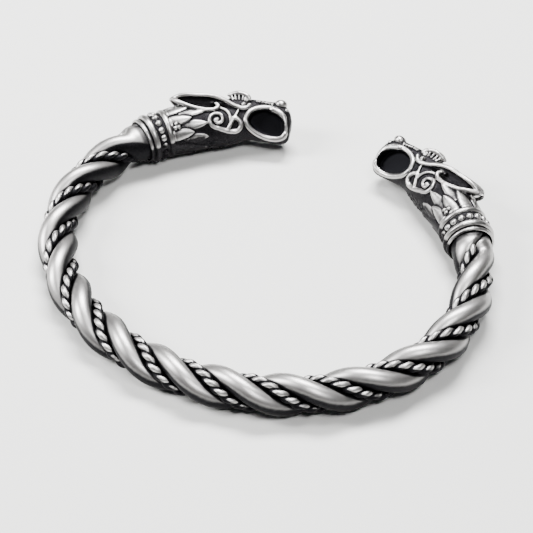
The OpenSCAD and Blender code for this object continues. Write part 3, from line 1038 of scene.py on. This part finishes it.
def wornBlack(mesh):  # softened points, black left in the recesses and wiped off the high places, and painted shade under the neck and jaw
    edges = np.empty(len(mesh.edges) * 2, int)
    mesh.edges.foreach_get("vertices", edges)
    edges = edges.reshape(-1, 2)
    soft = smoothed(meshPoints(mesh), edges, casting["softening"])
    growBeard(soft)
    mesh.vertices.foreach_set("co", soft.ravel())
    mesh.update()
    normals = meshNormals(mesh)
    fine = ((smoothed(soft, edges, casting["fineRounds"]) - soft) * normals).sum(1)
    broad = ((smoothed(soft, edges, casting["broadRounds"]) - soft) * normals).sum(1)
    u, v, w = soft.T
    out = np.hypot(v, w)
    shade, leafLines = leafBlack(u, v, w)
    black = casting["base"] + casting["fineDark"] * fine + casting["broadDark"] * broad + shade
    bare = np.where(u > collar["end"], smoothStep(*casting["bare"], aboveSkull(u, v, w)),
                    collarBlack(u, out))
    # Painted shade on the underside of the neck
    neckUnderShade = smoothStep(*casting["neckUnderShade"], v / out) * (1 - smoothStep(*casting["neckUnderShadeEnd"], u))
    # Painted shade on the underside of the jaw
    hairAndJawShade = underJawShare(u, v, beard["black"], beard["blackBelow"])
    depth, radius = collar["socket"]
    return soft, np.maximum.reduce([
        black, casting["bareShare"] * bare, casting["neckUnderShadeShare"] * neckUnderShade, beard["blackShare"] * hairAndJawShade,
        casting["dishShare"] * earBlack(u, v, w), browBlack(u, v, w), leafLines, mouthBlack(u, v, w),
        (u < depth) & (out < radius)])


headMesh = castHead()
headPoints, headBlack = wornBlack(headMesh)
print("head cast:", len(headMesh.vertices), "points")
for name, side in (("right_head", 1), ("left_head", -1)):
    head = linkedObject("cast_" + name, headMesh.copy())
    finishPiece(head, headToRing(headPoints, side), headBlack, castSilver, "cast_heads", name)
bpy.data.meshes.remove(headMesh)
print("heads placed")


# Floor, light and camera

studio = {
    "floorHalf": 0.6,      # metres
    "floorTones": ("#d6d6d4", "#d8d8d6"),
    "world": "#5c6064",
    "worldStrength": 0.3,
    "lights": {  # azimuth and elevation in degrees, distance and size in metres, watts
        "key": (200, 62, 0.45, (0.26, 0.12), 7.5),
        "left": (292, 38, 0.45, (0.10, 0.22), 4.0),
        "front": (50, 62, 0.5, (0.16, 0.12), 2.0),
    },
    "elevation": 45.0,     # of the camera
    "azimuth": 25.2,
    "distance": 272.0,     # millimetres from the oval's middle
    "focalShare": 1689 / 533,  # focal length as a share of the picture's width
    "sensor": 36.0,
    "clip": (0.01, 10.0),
    "middlePixel": (264.4, 251.5),
    "pictureSize": 533,
}


def floorMaterial():
    # Matt painted board: even and pale, with the faintest cloudiness
    mat, tree = emptyMaterial("matt_board")
    place = addNode(tree, "ShaderNodeTexCoord")
    cloud = addNode(tree, "ShaderNodeTexNoise", {"Vector": place.outputs["Object"]},
                    inputs={"Scale": 18.0, "Detail": 3.0})
    low, high = (linear(tone) for tone in studio["floorTones"])
    tone = addNode(tree, "ShaderNodeMixRGB", {"Fac": cloud.outputs["Fac"]},
                   inputs={"Color1": low, "Color2": high})
    shader = addNode(tree, "ShaderNodeBsdfPrincipled", {"Base Color": tone.outputs["Color"]},
                     inputs={"Roughness": 0.75})
    addNode(tree, "ShaderNodeOutputMaterial", {"Surface": shader.outputs[0]})
    return mat


def toward(azimuth, elevation):  # from the ring toward a light or the camera
    a, e = math.radians(azimuth), math.radians(elevation)
    return Vector((math.sin(a) * math.cos(e), -math.cos(a) * math.cos(e), math.sin(e)))


def softBox(name, azimuth, elevation, distance, size, power):
    light = bpy.data.lights.new(name, "AREA")
    light.shape = "RECTANGLE"
    light.size, light.size_y = size
    light.energy = power
    obj = linkedObject(name, light)
    back = toward(azimuth, elevation)
    obj.location = back * distance
    obj.rotation_mode = "QUATERNION"
    obj.rotation_quaternion = back.to_track_quat("Z", "Y")


def addCamera():
    aim = Vector((0, ring["middleY"], ring["twistRadius"])) * mm
    back = toward(studio["azimuth"], studio["elevation"])
    focal = studio["focalShare"] * studio["pictureSize"]
    turned = (-back).to_track_quat("-Z", "Y").to_matrix()
    offX, offY = (pixel - studio["pictureSize"] / 2 for pixel in studio["middlePixel"])
    look = -back - turned.col[0] * (offX / focal) + turned.col[1] * (offY / focal)  # middle on its pixel
    data = bpy.data.cameras.new("camera")
    data.sensor_width = studio["sensor"]
    data.lens = studio["sensor"] * studio["focalShare"]
    data.clip_start, data.clip_end = studio["clip"]
    camera = linkedObject("camera", data)
    camera.location = aim + back * (studio["distance"] * mm)
    camera.rotation_mode = "QUATERNION"
    camera.rotation_quaternion = look.to_track_quat("-Z", "Y")
    bpy.context.scene.camera = camera


h = studio["floorHalf"]
floor = meshObject("floor", [(-h, -h, 0), (h, -h, 0), (h, h, 0), (-h, h, 0)], [[0, 1, 2, 3]])
floor.data.materials.append(floorMaterial())

world = bpy.data.worlds.new("studio")
bpy.context.scene.world = world
world.use_nodes = True
background = world.node_tree.nodes["Background"].inputs
background["Color"].default_value = linear(studio["world"])
background["Strength"].default_value = studio["worldStrength"]
for lightName, place in studio["lights"].items():
    softBox(lightName, *place)
addCamera()
print("studio set")
